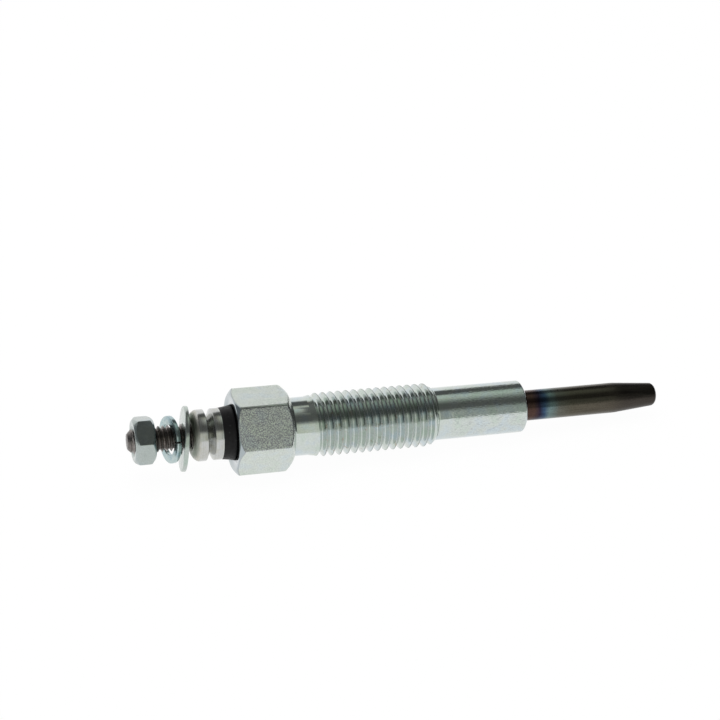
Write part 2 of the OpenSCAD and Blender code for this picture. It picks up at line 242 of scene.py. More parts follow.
# Grey of the crests: a rolling seam, and painted shade that dulls their highlight
SEAM_AND_SHADE_GREY = (0.26, 0.29, 0.28)
BROWN_STAIN = (0.38, 0.30, 0.20)
# Dirt tone of the grain, also used as painted shade behind the crown's rim and on the front flat
GRAIN_DIRT_AND_SHADE = (0.225, 0.21, 0.265)
# Turned steel of the ring nut
STEEL_DULL = (0.46, 0.47, 0.46)
STEEL_BRIGHT = (0.60, 0.61, 0.60)
OLIVE_FILM = (0.42, 0.40, 0.31)
NOSE_FILM = (0.62, 0.59, 0.47)
# Stud
STUD_DARK = (0.145, 0.132, 0.124)
STUD_BROWN = (0.32, 0.292, 0.274)
STUD_WORN = (0.33, 0.314, 0.302)
STUD_SOOT = (0.11, 0.105, 0.10)
# Bush
BUSH_BLACK = (0.006, 0.006, 0.0065)
BUSH_FLECK = (0.07, 0.07, 0.07)
BUSH_SCUFF = (0.035, 0.037, 0.04)
# Pieces inside
RUBBER_TONES = [(0.018, 0.018, 0.02), (0.045, 0.045, 0.047)]
WIRE_TONES = [(0.32, 0.27, 0.22), (0.5, 0.45, 0.4)]
POWDER_TONES = [(0.66, 0.65, 0.6), (0.86, 0.85, 0.82)]
# Shades that are multiplied with a tone
WHITE = (1, 1, 1)
SPECKLE_SHADE = (0.86, 0.86, 0.86)
STREAK_SHADE = (0.72, 0.72, 0.72)
GRIT_SHADE = (0.78, 0.76, 0.75)
GRIT_LIGHT = (1, 0.99, 0.97)
# Heat colours of the sheath by distance from the housing
SHEATH_TINTS = [
    (0.0, (0.088, 0.054, 0.046)),
    (1.5, (0.098, 0.058, 0.048)),
    (2.4, (0.034, 0.028, 0.055)),
    (3.3, (0.055, 0.105, 0.19)),
    (4.3, (0.185, 0.275, 0.28)),
    (5.8, (0.145, 0.152, 0.13)),
    (8.0, (0.122, 0.113, 0.086)),
    (14.5, (0.112, 0.10, 0.08)),
    (17.5, (0.076, 0.067, 0.059)),
    (23.1, (0.069, 0.061, 0.054)),
]
# Range that a noise mostly takes
NOISE_RANGE = (0.3, 0.7)

# Where the housing's finishes and painted shade begin and end, and how strong they are
CROWN_BORDER = (0.02, 0.08)
CROWN_SHARE = 0.8
# Painted shade: a dark band just behind the crown's rim
CROWN_LINE = (0.06, 0.16)
CROWN_LINE_SOFT = 0.04
CROWN_LINE_END = (1.0, 1.2)
CROWN_LINE_SHARE = 0.55
HEX_BORDER = (HEX_LEN - 0.1, HEX_LEN + 0.1)
HEX_FILM_SHARE = 0.3
HEX_GRAIN_DEPTH = 0.03
GRIME_RANGE = (0.4, 0.52)
GRIME_SHARE = 0.28
FRONT_BORDER = (HEX_FLAT_R - 0.06, HEX_FLAT_R - 0.02)
# Dirt in the front flat's grain, heavier there as painted shade
FRONT_DIRT_AND_SHADE_RANGE = (0.42, 0.57)
FRONT_DIRT_AND_SHADE_SHARE = 0.72
THREAD_SOFT = 0.15
THREAD_DULL = 0.07
# Grey band on the crests: a rolling seam with painted shade
SEAM_AND_SHADE_BORDER = (THREAD_R - 0.13, THREAD_R - 0.02)
SEAM_AND_SHADE_SHARE = 0.7
STAIN_RANGE = (0.62, 0.7)
STAIN_SHARE = 0.5
LOWER_BORDER = (LOWER_U + 1.2, LOWER_U + 2.6)
WORN_RANGE = (0.36, 0.5)
WORN_SHARE = 0.22
WORN_DEPTH = 0.02
PIT_DEPTH = 0.005
TURNING_DEPTH = 0.0015
# The same for the ring nut, the stud, the bush and the sheath
OLIVE_RANGE = (0.42, 0.62)
OLIVE_SHARE = 0.28
NOSE_BORDER = (RING_U + 0.75 * RING_NOSE_LEN, RING_U + 1.1 * RING_NOSE_LEN)
NOSE_SHARE = 0.32
NOSE_DULL = 0.7
RUBBED_BORDER = (STUD_R - 0.16, STUD_R - 0.02)
RUBBED_RANGE = (0.38, 0.62)
RUBBED_SHARES = (0.15, 0.8)
STUD_STOPS = (0.35, 0.7)
SOOT_BORDER = (STUD_U + 0.2, NUT_U)
SOOT_SHARE = 0.4
FLECK_RANGE = (0.66, 0.76)
FLECK_SHARE = 0.6
SCUFF_RANGE = (0.6, 0.75)
SCUFF_SHARE = 0.35
TINT_WAVER = 1.2
GRIT_STOPS = (0.35, 0.65)
DULL_BORDER = (TAPER_U - 3.0, TAPER_U + 1.0)
TAPER_DULL = 0.13

# Studio: angles in degrees from the front horizon over the top to the back, and places across
# as shares of its radius
STUDIO_R = 0.6
STUDIO_SEGMENTS = (96, 48)
STUDIO_DARK = (0.105, 0.109, 0.105)
STUDIO_BACK = (1.0, 1.0, 1.0)
STUDIO_LEFT = (0.18, 0.19, 0.20)
STUDIO_RIGHT = (0.07, 0.07, 0.07)
LEFT_EDGE = (-0.8, -0.6)
RIGHT_EDGE = (0.5, 0.62)
# Cream panel in front: where it ends upwards, and its tones across
FRONT_EDGE = (29, 47)
FRONT_TONES = [
    (0.15, (0.70, 0.72, 0.66)),
    (0.24, (0.72, 0.74, 0.64)),
    (0.33, (0.31, 0.34, 0.33)),
    (0.42, (0.37, 0.41, 0.38)),
]
# Screen overhead: where it starts and ends, and its tones across
SCREEN_START = (64, 102)
SCREEN_END = (110, 119)
SCREEN_TONES = [
    (0.10, (0.16, 0.16, 0.16)),
    (0.17, (0.27, 0.28, 0.27)),
    (0.25, (0.58, 0.59, 0.51)),
    (0.37, (0.54, 0.62, 0.57)),
    (0.50, (0.48, 0.54, 0.48)),
]
# White panel behind: where it starts, and how far its edge climbs across the studio
BACK_EDGE = (126, 139)
BACK_CLIMB = 45

# Floor, surroundings and lamp
FLOOR_HALF = 4.0
FLOOR_PAPER = (0.9, 0.9, 0.9)
FLOOR_GLOW = 0.97
WORLD_LIGHT = 0.85
LAMP_POWER = 1.5
LAMP_SIZE = 0.5
LAMP_AT = (-0.1, 0.1, 0.6)

# Camera fitted to the photograph's frame: the ground point on its axis, how it looks there, and
# a shift of half a pixel
CAMERA_AIM = (2.345, 30.57, 0.0)
CAMERA_DISTANCE = 305.2
CAMERA_AZIMUTH = -16.48
CAMERA_ELEVATION = 26.40
CAMERA_ROLL = 0.63
CAMERA_LENS = 88.06
CAMERA_SHIFT = 0.5 / 720
CAMERA_CLIP = (0.01, 50)


def lay_down():
    """Move that lays the plug on a flat of its hex and on the last full crest of its thread."""
    flat_end = HEX_LEN - (HEX_FLAT_R - HEX_END_R) * HEX_CHAMFER_LEN / HEX_CHAMFER_DROP
    rest_u = LAST_CREST_U + CREST_SHARE * THREAD_PITCH
    tilt = math.atan((HEX_FLAT_R - THREAD_R) / (rest_u - flat_end))
    lift = rest_u * math.sin(tilt) + THREAD_R * math.cos(tilt)
    middle = (STUD_U + TIP_U) * math.cos(tilt) / 2
    return Matrix.Translation(Vector((-middle, 0, lift)) * MM) @ Matrix.Rotation(tilt, 4, "Y")


LAID = lay_down()


# Profiles and surfaces


def rounded(corners, steps=EDGE_STEPS, closed=True):
    """Points of a profile whose corners (u, r, reach) are eased by curves with that reach."""
    points = []
    count = len(corners)
    for i, (u, r, reach) in enumerate(corners):
        here = Vector((u, r))
        at_end = not closed and i in (0, count - 1)
        if reach == 0 or at_end:
            points.append(here)
            continue
        sides = []
        for other in (corners[i - 1], corners[(i + 1) % count]):
            leg = Vector(other[:2]) - here
            sides.append(here + leg.normalized() * min(reach, EDGE_SHARE * leg.length))
        for k in range(steps + 1):
            t = k / steps
            points.append(sides[0] * (1 - t) ** 2 + here * 2 * t * (1 - t) + sides[1] * t**2)
    return points


def even_angles(count):
    """That many angles, evenly about the axis."""
    return [math.tau * i / count for i in range(count)]


def skin(profiles, angles, thread_rows=None, shift=0):
    """Closed surface through one closed profile per angle.

    Rows inside thread_rows follow a helix, so at the last angle they meet the rows one pitch
    (shift) further on.
    """
    rows = len(profiles[0])
    points = [
        (u * MM, r * math.cos(a) * MM, r * math.sin(a) * MM)
        for a, profile in zip(angles, profiles)
        for u, r in profile
    ]
    first, last = thread_rows or (rows, rows)
    past_seam = [min(i + shift, last) if first <= i <= last else i for i in range(rows)]
    faces = []
    for j in range(len(angles)):
        at_seam = j == len(angles) - 1
        here = [j * rows + i for i in range(rows)]
        there = past_seam if at_seam else [i + rows for i in here]
        for i in range(rows):
            k = (i + 1) % rows
            faces.append((here[i], here[k], there[k], there[i]))
    return points, faces


def revolve(profile):
    """Closed surface of one profile turned about the axis."""
    angles = even_angles(ROUND_STEPS)
    return skin([profile] * len(angles), angles)


def add(name, data):
    """New object in the scene."""
    made = bpy.data.objects.new(name, data)
    bpy.context.scene.collection.objects.link(made)
    return made


def new_piece(name, points, faces, slot, node, material, place=LAID, sharp=None):
    """Object of a closed mesh that stands for a CAD node and rides on the plug's one body."""
    mesh = bpy.data.meshes.new(name)
    mesh.from_pydata(points, [], faces)
    work = bmesh.new()
    work.from_mesh(mesh)
    bmesh.ops.remove_doubles(work, verts=work.verts, dist=WELD * MM)
    bmesh.ops.dissolve_degenerate(work, edges=work.edges, dist=SLIVER * MM)
    bmesh.ops.recalc_face_normals(work, faces=work.faces)
    work.to_mesh(mesh)
    work.free()
    mesh.polygons.foreach_set("use_smooth", [True] * len(mesh.polygons))
    if sharp:
        mesh.set_sharp_from_angle(angle=math.radians(sharp))
    mesh.materials.append(material)
    piece = add(name, mesh)
    piece.matrix_world = place
    weighted = piece.modifiers.new("even_shading", "WEIGHTED_NORMAL")
    weighted.keep_sharp = True
    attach(piece, "root")
    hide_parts(node)


def soft_min(a, b, width):
    """Smaller of two values, eased where they are closer than width."""
    near = max(width - abs(a - b), 0) / width
    return min(a, b) - near * near * width / 4


def hex_radius(angle, across_flats, first_flat, edge):
    """Distance from the axis to a hexagon with eased corners."""
    sixth = math.tau / 6
    turn = (angle - first_flat) % sixth
    flat_r = across_flats / 2
    return soft_min(flat_r / math.cos(turn), flat_r / math.cos(sixth - turn), edge)


def hex_angles(first_flat):
    """Angles about the axis, close together at a hexagon's corners."""
    degrees = []
    for k in range(6):
        flat = 60 * k
        corner = flat + 30
        degrees.append(flat)
        degrees += [corner - d for d in CORNER_SPREAD[:0:-1]]
        degrees += [corner + d for d in CORNER_SPREAD]
    return [first_flat + math.radians(d) for d in degrees]


def thread_drop(phase, pitch):
    """Depth below the eased crests of a rolled thread, a share of a pitch from the nearest one."""
    crest = ROLLED_CREST / 2 / FLANK_SHARE
    flank = crest - abs(phase) / FLANK_SHARE
    eased = soft_min(crest, 0, CREST_EASE) - soft_min(flank, 0, CREST_EASE)
    return DEPTH_SHARE * pitch * soft_min(eased, 1, ROOT_EASE)


def thread_profile(angle, span, major_r, pitch, crest_u, limit):
    """Profile at one angle of a right-handed thread that has a crest at crest_u on its ground side.

    limit(u, r) trims its two ends.
    """
    u0, u1 = span
    turn = (angle - GROUND_SIDE) / math.tau
    first = math.floor((u0 - crest_u) / pitch) - SPARE_PITCHES
    last = math.ceil((u1 - crest_u) / pitch) + SPARE_PITCHES
    points = []
    for i in range((last - first) * PITCH_SAMPLES + 1):
        u = min(max(crest_u + pitch * (first + i / PITCH_SAMPLES + turn), u0), u1)
        phase = (u - crest_u) / pitch - turn
        points.append((u, limit(u, major_r - thread_drop(phase - round(phase), pitch))))
    return points


# Node graphs of the materials


class Paint:
    """Material whose Principled shader is fed by fields in millimetres of the piece's own frame."""

    def __init__(self, name, **constants):
        self.material = bpy.data.materials.new(name)
        self.material.use_nodes = True
        self.tree = self.material.node_tree
        self.shader = self.tree.nodes["Principled BSDF"]
        for key, value in constants.items():
            self.shader.inputs[key.replace("_", " ")].default_value = value
        self.place = self.node("TexCoord").outputs["Object"]
        scaled = self.node("VectorMath", {0: self.place, "Scale": 1 / MM}, operation="SCALE")
        self.at = scaled.outputs[0]
        self.u, self.y, self.w = self.node("SeparateXYZ", {0: self.at}).outputs
        off_axis = self.node("CombineXYZ", {1: self.y, 2: self.w}).outputs[0]
        self.r = self.node("VectorMath", {0: off_axis}, operation="LENGTH").outputs["Value"]

    def node(self, kind, inputs=None, **settings):
        made = self.tree.nodes.new("ShaderNode" + kind)
        for key, value in settings.items():
            setattr(made, key, value)
        for key, value in (inputs or {}).items():
            self.feed(made.inputs[key], value)
        return made

    def feed(self, socket, value):
        if isinstance(value, bpy.types.NodeSocket):
            self.tree.links.new(value, socket)
        else:
            socket.default_value = value

    def math(self, operation, a, b):
        return self.node("Math", {0: a, 1: b}, operation=operation).outputs[0]

    def times(self, a, b):
        return self.math("MULTIPLY", a, b)

    def plus(self, a, b):
        return self.math("ADD", a, b)

    def minus(self, a, b):
        return self.math("SUBTRACT", a, b)

    def step(self, value, low, high, start=0.0, end=1.0):
        """Smooth step from start to end as the value goes from low to high."""
        limits = {"From Min": low, "From Max": high, "To Min": start, "To Max": end}
        inputs = {"Value": value, **limits}
        return self.node("MapRange", inputs, interpolation_type="SMOOTHSTEP").outputs[0]

    def between(self, value, low, high, soft):
        """One between two values, with soft edges, and zero elsewhere."""
        rise = self.step(value, low - soft, low + soft)
        fall = self.step(value, high - soft, high + soft, 1.0, 0.0)
        return self.times(rise, fall)

    def noise(self, per_mm, detail, stretch=(1, 1, 1), offset=(0, 0, 0)):
        """Noise with about that many features to the millimetre."""
        inputs = {0: self.at, 1: stretch, 2: offset}
        place = self.node("VectorMath", inputs, operation="MULTIPLY_ADD").outputs[0]
        inputs = {"Vector": place, "Scale": per_mm, "Detail": detail}
        return self.node("TexNoise", inputs).outputs[0]

    def lines(self, field, per_mm, detail):
        """Noise that varies along one field only, such as a lathe tool's lines."""
        inputs = {"W": field, "Scale": per_mm, "Detail": detail}
        return self.node("TexNoise", inputs, noise_dimensions="1D").outputs[0]

    def spread(self, noise, start, end):
        """Value from start to end over the range that a noise mostly takes."""
        return self.step(noise, *NOISE_RANGE, start, end)

    def mix(self, factor, a, b, blend="MIX"):
        inputs = {0: factor, 6: a, 7: b}
        return self.node("Mix", inputs, data_type="RGBA", blend_type=blend).outputs[2]

    def tint(self, colour, tone, share):
        """Colour that a tone covers by a share."""
        return self.mix(share, colour, (*tone, 1))

    def shaded(self, colour, shade):
        """Colour multiplied by a shade."""
        return self.mix(1.0, colour, shade, "MULTIPLY")

    def ramp(self, value, stops):
        """Colours (position, colour) blended along a value."""
        made = self.node("ValToRGB", {0: value})
        elements = made.color_ramp.elements
        for i, (position, colour) in enumerate(stops):
            element = elements[i] if i < 2 else elements.new(position)
            element.position = position
            element.color = (*colour, 1)
        return made.outputs[0]

    def tones(self, noise, first, second):
        """Colour from one tone to another over the range that a noise mostly takes."""
        return self.ramp(noise, zip(NOISE_RANGE, (first, second)))

    def bump(self, height, depth, under=None):
        """Relief of that depth in millimetres, on top of another one."""
        inputs = {"Height": height, "Distance": depth * MM, "Strength": 1.0}
        if under is not None:
            inputs["Normal"] = under
        return self.node("Bump", inputs).outputs[0]

    def finish(self, colour, roughness, normal):
        """The material, with its Principled shader fed."""
        self.feed(self.shader.inputs["Base Color"], colour)
        self.feed(self.shader.inputs["Roughness"], roughness)
        self.feed(self.shader.inputs["Normal"], normal)
        return self.material

    def finish_as(self, surface):
        """The material, with another shader in place of the Principled one."""
        nodes = self.tree.nodes
        nodes.remove(self.shader)
        self.feed(nodes["Material Output"].inputs["Surface"], surface.outputs[0])
        return self.material


def zinc(name, tones, grain, rough):
    """Zinc plating: clouded passivation tones under a fine crystalline grain."""
    p = Paint(name, Metallic=1.0)
    clouds = p.ramp(p.noise(per_mm=0.45, detail=3), zip(CLOUD_STOPS, tones))
    speckle = p.noise(per_mm=5.5, detail=2, offset=(3, 7, 1))
    colour = p.shaded(clouds, p.tones(speckle, SPECKLE_SHADE, WHITE))
    roughness = p.spread(p.noise(per_mm=1.6, detail=4), *rough)
    normal = p.bump(p.noise(per_mm=4.2, detail=3), grain)
    return p, colour, roughness, normal


def plain_zinc(name, tones, grain, rough):
    """Zinc plating without wear."""
    p, colour, roughness, normal = zinc(name, tones, grain, rough)
    return p.finish(colour, roughness, normal)


def behind_crown(p):
    """How far a point lies behind the hex's crown."""
    out = p.math("DIVIDE", p.minus(p.r, CROWN_R), CROWN_DROP)
    crown_u = p.times(p.math("POWER", out, CROWN_POWER), CROWN_LEN)
    return p.minus(p.u, crown_u)


def rolled_thread(p, colour, on_thread):
    """Grey on the crests, partly a seam that rolling leaves and partly painted shade that dulls
    their highlight, and brown stains.
    """
    # Painted shade on the crests, mixed with the rolling seam
    seam_and_shade = p.times(on_thread, p.step(p.r, *SEAM_AND_SHADE_BORDER))
    colour = p.tint(colour, SEAM_AND_SHADE_GREY, p.times(seam_and_shade, SEAM_AND_SHADE_SHARE))
    spots = p.step(p.noise(per_mm=1.1, detail=3, offset=(5, 2, 8)), *STAIN_RANGE)
    return p.tint(colour, BROWN_STAIN, p.times(p.times(spots, on_thread), STAIN_SHARE))


def grainy_hex(p, colour, on_hex, pits):
    """Warm film with dirt in its grain, most of it on the flat in front, where it is also painted
    shade.
    """
    colour = p.tint(colour, WARM_ZINC, p.times(on_hex, HEX_FILM_SHARE))
    grime = p.times(on_hex, p.step(pits, *GRIME_RANGE, GRIME_SHARE, 0.0))
    colour = p.tint(colour, GRAIN_DIRT_AND_SHADE, grime)
    # More of the dirt tone on the flat in front: dirt in the grain, and painted shade
    along_y = p.times(p.y, math.cos(FRONT_FLAT))
    along_w = p.times(p.w, math.sin(FRONT_FLAT))
    in_front = p.times(on_hex, p.step(p.plus(along_y, along_w), *FRONT_BORDER))
    dirt_and_shade = p.times(in_front, p.step(pits, *FRONT_DIRT_AND_SHADE_RANGE, FRONT_DIRT_AND_SHADE_SHARE, 0.0))
    return p.tint(colour, GRAIN_DIRT_AND_SHADE, dirt_and_shade)


def housing_zinc():
    """Zinc of the housing: bluish crown darkened by painted shade, grainy hex, rolled thread and
    turned, worn lower shank.
    """
    p, colour, roughness, normal = zinc(
        "zinc_housing", HOUSING_TONES, grain=0.004, rough=(0.07, 0.13)
    )
    pits = p.noise(per_mm=7.5, detail=2, offset=(9, 4, 2))
    streaks = p.noise(per_mm=5.0, detail=3, stretch=(0.45, 1, 1), offset=(2, 6, 4))
    depth = behind_crown(p)
    on_crown = p.step(depth, *CROWN_BORDER, 1.0, 0.0)
    up_to_hex = p.step(p.u, *HEX_BORDER, 1.0, 0.0)
    on_hex = p.math("MAXIMUM", p.minus(up_to_hex, on_crown), 0.0)
    on_thread = p.between(p.u, THREAD_U, UNDERCUT_U, THREAD_SOFT)
    on_lower = p.step(p.u, *LOWER_BORDER)

    # Bluish crown tone, darkened as painted shade where the crown faces the bush
    colour = p.tint(colour, CROWN_TONE_AND_SHADE, p.times(on_crown, CROWN_SHARE))
    colour = rolled_thread(p, colour, on_thread)
    colour = grainy_hex(p, colour, on_hex, pits)
    # Painted shade: a dark band just behind the crown's rim, fading out past about one millimetre
    # along the axis
    crown_shade_band = p.between(depth, *CROWN_LINE, CROWN_LINE_SOFT)
    crown_shade_band = p.times(crown_shade_band, p.step(p.u, *CROWN_LINE_END, CROWN_LINE_SHARE, 0.0))
    colour = p.tint(colour, GRAIN_DIRT_AND_SHADE, crown_shade_band)
    worn = p.times(on_lower, p.step(streaks, *WORN_RANGE, WORN_SHARE, 0.0))
    colour = p.tint(colour, GRAIN_DIRT_AND_SHADE, worn)

    roughness = p.plus(roughness, p.times(on_thread, THREAD_DULL))
    relief = p.bump(p.times(pits, on_hex), HEX_GRAIN_DEPTH, normal)
    relief = p.bump(p.times(streaks, on_lower), WORN_DEPTH, relief)
    relief = p.bump(p.times(pits, on_lower), PIT_DEPTH, relief)
    relief = p.bump(p.lines(p.u, per_mm=9.0, detail=3), TURNING_DEPTH, relief)
    return p.finish(colour, roughness, relief)


def turned_steel():
    """Bright turned steel of the ring nut, with the tool's fine rings and a filmed, coarse nose."""
    p = Paint("turned_steel", Metallic=1.0)
    path = p.plus(p.u, p.r)
    rings = p.lines(path, per_mm=7.0, detail=4)
    colour = p.tones(rings, STEEL_DULL, STEEL_BRIGHT)
    film = p.step(p.noise(per_mm=1.1, detail=3), *OLIVE_RANGE, end=OLIVE_SHARE)
    colour = p.tint(colour, OLIVE_FILM, film)
    nose = p.step(p.u, *NOSE_BORDER, NOSE_SHARE, 0.0)
    colour = p.tint(colour, NOSE_FILM, nose)
    roughness = p.plus(p.spread(rings, 0.12, 0.22), p.times(nose, NOSE_DULL))
    relief = p.bump(rings, depth=0.009)
    cuts = p.times(p.lines(path, per_mm=4.5, detail=1), nose)
    return p.finish(colour, roughness, p.bump(cuts, depth=0.16, under=relief))


def dark_thread():
    """Dark oiled stud, rubbed lighter on its crests and sooty at its end."""
    p = Paint("dark_thread", Metallic=1.0)
    rubbed = p.step(p.r, *RUBBED_BORDER)
    patches = p.step(p.noise(per_mm=1.4, detail=4), *RUBBED_RANGE, *RUBBED_SHARES)
    clouds = p.noise(per_mm=2.2, detail=4, offset=(1, 5, 2))
    colour = p.ramp(clouds, zip(STUD_STOPS, (STUD_DARK, STUD_BROWN)))
    colour = p.tint(colour, STUD_WORN, p.times(rubbed, patches))
    colour = p.tint(colour, STUD_SOOT, p.step(p.u, *SOOT_BORDER, SOOT_SHARE, 0.0))
    roughness = p.spread(p.noise(per_mm=3.0, detail=3), 0.25, 0.42)
    return p.finish(colour, roughness, p.bump(p.noise(per_mm=6.0, detail=3), depth=0.012))


def phenolic():
    """Black moulded bush with faint pale flecks and fine scuffs along the moulding."""
    p = Paint("phenolic", IOR=1.5, Specular_IOR_Level=0.2)
    flecks = p.step(p.noise(per_mm=3.2, detail=4), *FLECK_RANGE, end=FLECK_SHARE)
    rubs = p.noise(per_mm=1.6, detail=4, stretch=(0.4, 2.0, 2.0))
    scuffs = p.step(rubs, *SCUFF_RANGE, end=SCUFF_SHARE)
    colour = p.tint((*BUSH_BLACK, 1), BUSH_FLECK, flecks)
    colour = p.tint(colour, BUSH_SCUFF, scuffs)
    roughness = p.spread(p.noise(per_mm=2.0, detail=4), 0.36, 0.55)
    return p.finish(colour, roughness, p.bump(p.noise(per_mm=5.0, detail=4), depth=0.01))


def heat_tint():
    """Drawn nickel alloy with heat colours: red-brown at the root, blue, straw, then dark."""
    p = Paint("heat_tint", Metallic=1.0)
    waver = p.times(p.minus(p.noise(per_mm=0.5, detail=2), 0.5), TINT_WAVER)
    limits = {"From Min": LOWER_END_U, "From Max": TIP_U}
    along = p.node("MapRange", {"Value": p.plus(p.u, waver), **limits}).outputs[0]
    colour = p.ramp(along, [(d / SHEATH_OUT_LEN, tone) for d, tone in SHEATH_TINTS])
    streaks = p.noise(per_mm=2.2, detail=4, stretch=(0.12, 1.6, 1.6))
    colour = p.shaded(colour, p.tones(streaks, STREAK_SHADE, WHITE))
    grit = p.noise(per_mm=5.5, detail=3, offset=(4, 1, 6))
    colour = p.shaded(colour, p.ramp(grit, zip(GRIT_STOPS, (GRIT_SHADE, GRIT_LIGHT))))
    dull = p.step(p.u, *DULL_BORDER, end=TAPER_DULL)
    roughness = p.plus(p.spread(streaks, 0.2, 0.3), dull)
    relief = p.bump(p.noise(per_mm=6.0, detail=3), depth=0.004)
    return p.finish(colour, roughness, p.bump(streaks, depth=0.006, under=relief))


def rubber():
    """Matt black rubber of the seals."""
    p = Paint("rubber", IOR=1.5)
    colour = p.tones(p.noise(per_mm=3.0, detail=4), *RUBBER_TONES)
    roughness = p.spread(p.noise(per_mm=4.0, detail=3), 0.6, 0.8)
    return p.finish(colour, roughness, p.bump(p.noise(per_mm=6.0, detail=3), depth=0.01))


def drawn_wire():
    """Drawn wire of the coils."""
    p = Paint("drawn_wire", Metallic=1.0)
    colour = p.tones(p.noise(per_mm=2.5, detail=4), *WIRE_TONES)
    roughness = p.spread(p.noise(per_mm=5.0, detail=3), 0.28, 0.45)
    return p.finish(colour, roughness, p.bump(p.noise(per_mm=8.0, detail=3), depth=0.004))


def packed_powder():
    """Pale compacted powder."""
    p = Paint("packed_powder", IOR=1.6)
    colour = p.tones(p.noise(per_mm=6.0, detail=5), *POWDER_TONES)
    roughness = p.spread(p.noise(per_mm=5.0, detail=3), 0.8, 0.95)
    return p.finish(colour, roughness, p.bump(p.noise(per_mm=9.0, detail=4), depth=0.03))


# Pieces


def crown_side(flat_r):
    """Outer corners of the hex's crown: flat at first, then curving back to one of its flats."""
    corners = [(0, CROWN_R - CROWN_RIM, 0)]
    for i in range(CROWN_STEPS + 1):
        r = CROWN_R + (flat_r - CROWN_R) * i / CROWN_STEPS
        rise = CROWN_LEN * ((r - CROWN_R) / CROWN_DROP) ** CROWN_POWER
        corners.append((rise, r, CROWN_EDGE if i == CROWN_STEPS else 0))
    return corners


def trimmed_side(end_u, end_r, slope, flat_r, edge):
    """Outer corners of a hexagon's end that a cone trims: on the flat, and on the end face."""
    return [(end_u - (flat_r - end_r) / slope, flat_r, edge), (end_u, end_r, edge / 2)]


def make_housing():
    """Hex, shanks, thread, sealing seat and stepped bore as one piece."""
    angles = hex_angles(FIRST_FLAT)
    upper_r, lower_r = UPPER_D / 2, LOWER_D / 2
    thread_end_r = THREAD_ROOT_R + THREAD_END_STEP
    undercut_r = min(THREAD_ROOT_R, lower_r) - UNDERCUT_DEPTH
    slope = HEX_CHAMFER_DROP / HEX_CHAMFER_LEN
    neck_bore_r = NECK_R + PRESS_GAP
    seal_d = neck_bore_r - ROD_D / 2
    counterbore_u = BUSH_NECK_LEN + PRESS_GAP + seal_d
    rod_bore_r = ROD_D / 2 + ROD_AIR_GAP
    sheath_bore_r = SHEATH_R + PRESS_GAP

    def limit(u, r):
        """Fade of the groove at the upper shank, and lead at the undercut."""
        start, end = u - THREAD_U, UNDERCUT_U - u
        rise = upper_r + (THREAD_R - upper_r) * min(start / THREAD_RUNOUT, 1)
        cut_in = (start - THREAD_CUT_IN) / (FADE * THREAD_PITCH)
        low = THREAD_R - (THREAD_R - THREAD_ROOT_R) * min(max(cut_in, 0), 1)
        lead = thread_end_r + (THREAD_R - thread_end_r) * end / THREAD_LEAD
        return min(max(r, low), rise, lead)

    mouth = (0, neck_bore_r, 0)
    behind = [
        (UNDERCUT_U, undercut_r, 0),
        (LOWER_U, lower_r, SHANK_EDGE),
        (LOWER_END_U - SEAT_LEN, lower_r, SEAT_EDGE),
        (LOWER_END_U, lower_r - SEAT_DROP, SHANK_EDGE),
        (LOWER_END_U, sheath_bore_r, 0),
        (SHEATH_U, sheath_bore_r, 0),
        (SHEATH_U, rod_bore_r, 0),
        (counterbore_u, rod_bore_r, 0),
        (counterbore_u, neck_bore_r, 0),
        mouth,
    ]
    back = rounded(behind, closed=False)
    span = (THREAD_U, UNDERCUT_U)
    profiles = []
    for a in angles:
        flat_r = hex_radius(a, HEX_AF, FIRST_FLAT, HEX_EDGE)
        ahead = [mouth] + crown_side(flat_r)
        ahead += trimmed_side(HEX_LEN, HEX_END_R, slope, flat_r, HEX_EDGE)
        ahead += [(HEX_LEN, upper_r, HEX_FILLET), (THREAD_U, upper_r, 0)]
        front = rounded(ahead, closed=False)[1:]
        thread = thread_profile(a, span, THREAD_R, THREAD_PITCH, LAST_CREST_U, limit)
        profiles.append(front + thread + back)
    rows = (len(front), len(front) + len(thread) - 1)
    mesh = skin(profiles, angles, rows, PITCH_SAMPLES)
    new_piece("housing_steel", *mesh, "zinc_steel", "housing", housing_zinc())


def make_rod():
    """Threaded stud, plain rod, pin and spigot as one piece."""
    angles = even_angles(STUD_STEPS)
    rod_r, pin_r = ROD_D / 2, PIN_D / 2
    root_r = STUD_R - DEPTH_SHARE * STUD_PITCH
    thread_end = -STUD_PITCH
    span = (STUD_U, thread_end)
    crest_u = STUD_U + STUD_PITCH / 2
    pin_u = SHEATH_U - PIN_LEAD
    spigot_end = SPIGOT_U + SPIGOT_LEN

    def limit(u, r):
        """Chamfer at the stud's end, and fade of the groove at the plain rod."""
        start, end = u - STUD_U, thread_end - u
        low = rod_r - (rod_r - root_r) * min(end / (FADE * STUD_PITCH), 1)
        r = min(max(r, low), rod_r + end)
        return min(r, STUD_R - STUD_CHAMFER + start)

    inner = [
        (thread_end, rod_r, 0),
        (pin_u - (rod_r - pin_r), rod_r, ROD_EDGE),
        (pin_u, pin_r, ROD_EDGE),
        (SPIGOT_U, pin_r, ROD_EDGE),
        (SPIGOT_U, SPIGOT_R, 0),
        (spigot_end, SPIGOT_R, ROD_EDGE),
        (spigot_end, 0, 0),
    ]
    back = rounded(inner, closed=False)[1:]
    profiles = []
    for a in angles:
        thread = thread_profile(a, span, STUD_R, STUD_PITCH, crest_u, limit)
        profiles.append([(STUD_U, 0)] + thread + back)
    mesh = skin(profiles, angles, (1, len(thread)), PITCH_SAMPLES)
    material = dark_thread()
    new_piece("terminal_stud", *mesh, "dark_stud", "terminal_rod", material, sharp=STUD_SHARP)


